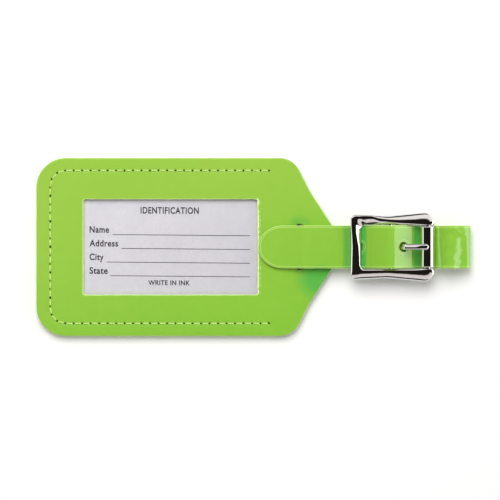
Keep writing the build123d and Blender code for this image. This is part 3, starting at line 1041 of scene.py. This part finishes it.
def across_rows():
    """Places across the strap, close together near its edges."""
    side = [STRAP_HALF - row for row in EDGE_ROWS]
    return np.array([-y for y in side] + [0.0] + side[::-1])


def crease(edge_gap):
    """Pressed line just inside the strap's edges."""
    return CREASE_DEPTH * np.exp(-((edge_gap - CREASE_INSET) / CREASE_WIDTH) ** 2)


def strap_heights(route, gap, holes, twist=None):
    """Heights above and below the strap's centre line. twist is the middle of a twisted stretch."""
    def waves(points):
        wave = np.array([noise.noise(Vector((*[c * 0.16 for c in route.place(p, 0)[:2]],
                                             p.real * 0.02))) for p in points]) * 0.05
        if twist is not None:
            along = points.real - twist
            fade = np.exp(-(along / LOOP_TWIST_REACH) ** 4)
            ripple = np.array([noise.noise(Vector((p.real * 0.3, p.imag * 0.55, 7.0))) for p in points])
            wave += fade * (ripple * LOOP_RIPPLE - LOOP_TWIST * points.imag * along)
        return wave

    def hole_gap(points):
        if not holes:
            return np.full(len(points), 1e9)
        return np.min([distance_to(points, hole) for hole in holes], axis=0)

    def top(points):
        edge = gap(points)
        return (HALF - edge_drop(edge, 0.42, 0.3) - crease(edge)
                - edge_drop(hole_gap(points), 0.3, 0.2) + waves(points))

    def bottom(points):
        return (-HALF + edge_drop(gap(points), 0.35, 0.22)
                + edge_drop(hole_gap(points), 0.25, 0.14) + waves(points))

    # Pale cut edge with a painted highlight along the strap's edges and round its holes
    def rim(points):
        return np.exp(-np.minimum(gap(points), hole_gap(points)) / STRAP_RIM)

    return top, bottom, rim


def make_strap(vinyl):
    """Strap from its riveted tail round the bar, slot, loop and roller to the free tip's root."""
    route = Route(*strap_route())
    stops = route.travel
    rows = across_rows()
    outline = ([complex(s, -STRAP_HALF) for s in stops] + [complex(stops[-1], y) for y in rows[1:-1]]
               + [complex(s, STRAP_HALF) for s in stops[::-1]]
               + [complex(0, y) for y in rows[-2:0:-1]])
    lean = radians(PAIR_SLOPE)
    tail_rivet = circle(route.stop(station(RIVET_X) + SPACING * sin(lean)), RIVET_RADIUS, 20)
    over_bar = [s for s, spot in zip(stops, route.line) if abs(spot - BAR) < FOLD_RADIUS + 0.62]
    first_run = [s for s in over_bar if s < route.length / 3]
    slit = rectangle(min(first_run), max(first_run), PRONG_SLIT, 1.0, 0.5)
    fixed_x = station(RIVET_X)
    passes = route.travel[:-1][np.diff(np.sign(route.line.real - fixed_x)) != 0]
    fixed_rivet = circle(passes[passes > max(first_run)][0], RIVET_RADIUS, 20)
    billet_hole = circle(route.stop(station(BILLET_HOLE_X), last=True), HOLE_RADIUS)
    spare_hole = circle(route.stop(station(SPARE_HOLE_X), last=True), HOLE_RADIUS)
    holes = [tail_rivet, slit, fixed_rivet, billet_hole, spare_hole]
    rings = [ring for hole in holes for ring in insets(hole, -0.12)]
    fill = np.array([complex(s, y) for s in stops[1:-1] for y in rows[1:-1]])

    def gap(points):
        return np.minimum(STRAP_HALF - abs(points.imag), points.real)

    twist = [s for s in stops if abs(route.at(s)[0].real - station(LOOP_TWIST_X)) < 0.6
             and route.at(s)[1].real < 0 and s > route.length / 2][0]
    top, bottom, rim = strap_heights(route, gap, holes, twist)
    return slab("strap_strip", outline, holes, rings, fill, top, bottom, rim, route.place, vinyl, 0.14)


def make_tip(vinyl, level):
    """Free end of the strap: over the neck, down onto the panel, rounded in plan."""
    route = Route([on_plan(SEAM_X, level), on_plan(TIP_DROP_X[1], level),
                   on_plan(TIP_DROP_X[0], FRONT_TOP + GAP + HALF),
                   complex(tip_low.x, FRONT_TOP + GAP + HALF)], [0, TIP_BEND, TIP_BEND, 0])
    end = route.length
    rows = across_rows()
    full = end - TIP_CURVE
    runs = [s for s in route.travel if s < full - 0.3]
    curve = [complex(full + TIP_CURVE * sin(t), STRAP_HALF * cos(t))
             for t in np.linspace(0, pi, 61)]
    lower, upper = ([complex(s, y) for s in runs] for y in (-STRAP_HALF, STRAP_HALF))
    outline = lower + curve[::-1] + upper[::-1] + [complex(0, y) for y in rows[-2:0:-1]]
    edge = upper + curve + lower[::-1]
    lengthened = [edge[0] - 5] + edge + [edge[-1] - 5]

    def gap(points):
        return distance_to(points, lengthened, closed=False)

    loops = [(offset(curve, -row)[1:-1], False) for row in EDGE_ROWS[1:10]]
    fill = [complex(s, y) for s in runs[1:] for y in rows[1:-1]]
    fill += list(lattice(complex(full, -STRAP_HALF), complex(end, STRAP_HALF), 0.8))
    fill = np.array(fill)
    keep = (fill.real < full - 0.2) | ((gap(fill) > 2.0) & (fill.real > full + 0.2))
    top, bottom, rim = strap_heights(route, gap, [])
    return slab("strap_end", outline, [], loops, fill[keep], top, bottom, rim, route.place, vinyl, 0.14)


# ---- buckle


def smooth_run(points, radii, counts):
    """A rounded line cut into a set number of steps between the middles of its bends."""
    line = np.array(rounded(points, radii, closed=False, turn_step=0.05, run_step=0.15))
    travel = travel_of(line)
    marks = [0.0, *(travel[np.argmin(abs(line - spot))] for spot in points[1:-1]), travel[-1]]
    places = np.concatenate([np.linspace(a, b, n, endpoint=False)
                             for a, b, n in zip(marks, marks[1:], counts)] + [[travel[-1]]])
    return at_travel(places, travel, line)


def frame_halves():
    """Outer and inner line of the buckle frame's upper half, from the toe ear to the heel's middle."""
    left, right = frame_low.x, frame_high.x
    ear, top = right - 0.05, frame_high.y
    outer = [complex(ear - 0.8, TOE_INNER), complex(ear + 0.25, TOE_INNER + 1.6),
             complex(ear - 2.6, top + 0.15), complex(right - 7.6, top - 0.3),
             complex((left + right) / 2 - 2.0, WAIST_HALF), complex(left + 3.6, HEEL_HALF - 0.3),
             complex(left + HEEL_OUT, HEEL_HALF), complex(left + HEEL_OUT + HEEL_HOLLOW, 0)]
    outer_radii = [0, 1.5, 2.9, 9.0, 22.0, 6.0, 2.1, 0]
    open_x = station(OPENING_X)
    inner = [complex(ear - 1.5, TOE_INNER), complex(ear - 1.9, TOE_INNER),
             complex(right - 4.2, TOE_INNER), complex(right - 7.3, OPENING_HALF - 0.1),
             complex((left + right) / 2 - 2.0, OPENING_HALF), complex(left + 6.4, OPENING_HALF),
             complex(open_x, OPENING_HALF), complex(open_x + 0.15, 0)]
    inner_radii = [0, 0.15, 2.0, 2.0, 5.0, 5.0, 1.7, 0]
    counts = [6, 14, 10, 16, 16, 12, 26]
    return smooth_run(outer, outer_radii, counts), smooth_run(inner, inner_radii, counts)


def make_buckle(metal):
    """Cast buckle frame with waisted sides and flared toe ears, and the bar its roller turns on."""
    outer, inner = frame_halves()
    outer = list(outer) + [p.conjugate() for p in outer[-2::-1]]
    inner = list(inner) + [p.conjugate() for p in inner[-2::-1]]
    level = (frame_low.z + frame_high.z) / 2
    path = []
    spans = []
    for a, b in zip(outer, inner):
        middle, reach = (a + b) / 2, a - b
        across = reach / abs(reach)
        path.append((Vector((middle.real, middle.imag, level)), Vector((across.real, across.imag, 0)),
                     Vector((0, 0, 1))))
        spans.append(abs(reach) / 2)

    share = np.arange(len(path)) / (len(path) - 1)
    leans, outers, inners = (np.interp(share, *zip(*table))
                             for table in (CREST_LEAN, CREST_OUTER, CREST_INNER))

    def section(k):
        swell = FRAME_HALF * min(1.0, (spans[k] / 1.7) ** 0.6)
        ring = []
        for j in range(FRAME_SIDES):
            turn = 2 * pi * j / FRAME_SIDES
            lean = leans[k] * sin(turn) ** 2 if turn < pi else 0
            power = outers[k] if turn < pi / 2 else inners[k] if turn < pi else 0.9
            ring.append((spans[k] * (cos(turn) + lean),
                         swell * abs(sin(turn)) ** power * (1 if turn < pi else -1)))
        return ring

    loop = sweep(path, section)
    reach = TOE_INNER + 1.2
    bar = [(0.02, -reach), (TOE_BAR_RADIUS, -reach), (TOE_BAR_RADIUS, reach), (0.02, reach)]
    return join_meshes("buckle_ring", [loop, lathe_y(TOE, bar, 48)], metal, 50)


def make_roller(metal):
    """Roller sleeve with turned-in rims."""
    outer, inner, half = ROLLER_RADIUS, TOE_BAR_RADIUS + ROLLER_CLEARANCE, roller_high.y
    core, end = outer - RIM_BEND, RIM_BEND - half
    turns = [pi / 2 * k / 8 for k in range(9)]
    rim = [(inner, 0.1 - half)]
    rim += [(core + RIM_BEND * sin(turn), end - RIM_BEND * cos(turn)) for turn in turns]
    barrel = [(outer - 0.02 * (1 - (y / half) ** 2), y)
              for y in np.linspace(1.2 - half, half - 1.2, 9)]
    profile = rim + barrel + [(radius, -y) for radius, y in rim[::-1]]
    return join_meshes("roller_sleeve", [lathe_y(TOE, profile, 96)], metal, 50)


def squared(share, power=0.72):
    """A sine or cosine pushed outward, which flattens the sides of a round."""
    return abs(share) ** power * (1 if share > 0 else -1)


def make_prong(metal):
    """Prong of wire curled round the centre bar, cranked up through the strap onto the roller."""
    eye = BAR_RADIUS + PRONG_CLEARANCE + PRONG_WALL / 2
    knee = TOE.imag * 1j + on_plan(PRONG_KNEE[0], PRONG_KNEE[1])
    top = prong_high.z - PRONG_THICKNESS / 2
    leave = radians(PRONG_LEAVE)
    start = BAR + eye * exp(1j * leave)
    arm = rounded([start, knee, on_plan(PRONG_CROOK_X, top),
                   complex(prong_high.x - 0.1, top)], [0, *PRONG_BENDS, 0], closed=False, turn_step=0.09,
                  run_step=0.5)
    curl = [BAR + eye * exp(1j * (leave - CURL + radians(8 * k))) for k in range(35)]
    line = distinct(np.array(curl + arm))
    heading = np.gradient(line)
    heading /= abs(heading)
    travel = travel_of(line)
    path = [(Vector((spot.real, 0, spot.imag)), Vector((0, 1, 0)), Vector((-way.imag, 0, way.real)))
            for spot, way in zip(line, heading)]
    eye_length = eye * CURL

    def section(k):
        grown = min(1.0, max(0.0, (travel[k] - eye_length + 1.5) / 3.0))
        left = travel[-1] - travel[k]
        nose = sqrt(1 - max(0.0, 1 - left / (PRONG_WIDTH / 2)) ** 2)
        width = PRONG_WIDTH * max(0.35, nose)
        depth = (PRONG_WALL + (PRONG_THICKNESS - PRONG_WALL) * grown) * max(0.5, nose)
        depth *= 0.7 + 0.3 * min(1.0, travel[k] / 0.6)
        roll = exp(-1j * PRONG_ROLL * min(1.0, max(0.0, left / PRONG_ROLL_END - 1)))
        turns = circle(0, 1, PRONG_SIDES)
        ring = [complex(width / 2 * squared(turn.real), depth / 2 * squared(turn.imag)) * roll
                for turn in turns]
        return [(spot.real, spot.imag) for spot in ring]

    return join_meshes("prong_wire", [sweep(path, section)], metal, 60)


# ---- stage


def softbox(name, place, side, power, colour):
    """Square lamp that faces the object and doesn't show in its gloss."""
    lamp = bpy.data.lights.new(name, "AREA")
    lamp.shape, lamp.size, lamp.size_y = "RECTANGLE", side, side
    lamp.energy, lamp.color = power, colour
    thing = link(bpy.data.objects.new(name, lamp))
    thing.location = place
    thing.rotation_euler = (Vector() - Vector(place)).to_track_quat("-Z", "Y").to_euler()
    thing.visible_glossy = False


def make_world():
    """Dark studio ceiling with bright walls low down on every side."""
    n = Nodes("studio", "worlds", "Background", "Generated")
    light = CEILING
    for side, near, far, colour in WALLS:
        span = n.feed(n.add("ShaderNodeMapRange", interpolation_type="SMOOTHSTEP"),
                      Value=n.axis(side), **{"From Min": near, "From Max": far})
        light = n.mix(span.outputs["Result"], light, colour)
    seen = n.add("ShaderNodeLightPath").outputs["Is Camera Ray"]
    n.feed(n.shader, Color=n.mix(seen, light, BACKDROP))
    bpy.context.scene.world = n.material


def make_floor():
    """White table top that stays bright far from the lamps."""
    n = Nodes("table_white")
    tone = n.noise(8.0, 2.0)
    base = n.ramp(tone, (0.3, (0.90, 0.90, 0.90)), (0.7, (0.92, 0.92, 0.92)))
    n.feed(n.shader, Roughness=n.span(tone, 0.3, 0.7, 0.85, 0.95), **{"Base Color": base})
    n.fix(Specular_IOR_Level=0.1)
    away = n.feed(n.add("ShaderNodeVectorMath", operation="LENGTH"), n0=n.place).outputs["Value"]
    n.feed(n.shader, **{"Emission Color": base, "Emission Strength": n.span(away, 0.3, 1.3, 0.0, 0.6)})
    mesh = bpy.data.meshes.new("table_top")
    mesh.from_pydata([(x * TABLE_HALF * MM, y * TABLE_HALF * MM, TABLE_LEVEL * MM)
                      for x, y in SQUARE], [], [(0, 1, 2, 3)])
    mesh.materials.append(n.material)
    top = link(bpy.data.objects.new("table_top", mesh))


def make_camera():
    """Straight down, as the object was photographed."""
    lens = bpy.data.cameras.new("camera")
    lens.sensor_width = 36.0
    lens.lens = lens.sensor_width * CAMERA_HEIGHT / VIEW_WIDTH
    lens.clip_start, lens.clip_end = 0.01, 20.0
    camera = link(bpy.data.objects.new("camera", lens))
    camera.location = (VIEW_MIDDLE.real * MM, VIEW_MIDDLE.imag * MM, CAMERA_HEIGHT * MM)
    bpy.context.scene.camera = camera


# ---- assembly

bpy.context.scene.view_settings.view_transform = "Standard"
make_camera()
for lamp in LAMPS:
    softbox(*lamp)
make_world()
make_floor()

vinyl, thread, metal = patent_vinyl(), thread_material(), chrome()
front, needle_holes = make_front(vinyl)
pieces = [
    (front, "tag", "patent_vinyl", "front_panel"),
    (make_back(vinyl, needle_holes), "tag", "patent_vinyl", "back_panel"),
    (make_stitches("needle_stitches", needle_holes, FRONT_TOP - 0.1, 0.12, thread), "tag", "thread",
     "needle_thread"),
    (make_stitches("bobbin_stitches", needle_holes, 0.36, -0.02, thread), "tag", "thread",
     "bobbin_thread"),
    (make_sheet(clear_sheet()), "tag", "clear_sheet", "window_sheet"),
    (make_card(card_paper()), "card", "card_paper", "id_card"),
    (make_buckle(metal), "strap", "chrome", "buckle_frame"),
    (make_roller(metal), "roller", "chrome", "roller"),
    (make_prong(metal), "prong", "chrome", "prong"),
]
for piece, body, finish, node in pieces:
    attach(piece, body)
    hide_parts(node)

words = make_print(printing_ink())
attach(words, "card")

strip = make_strap(vinyl)
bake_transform(strip)
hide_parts("strap")

end = make_tip(vinyl, strap_route()[0][-1].imag)
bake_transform(end)
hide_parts("strap_tip")

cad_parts["center_bar"].material_slots[0].material = metal
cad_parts["fold_rivet"].material_slots[0].material = rivet_steel()
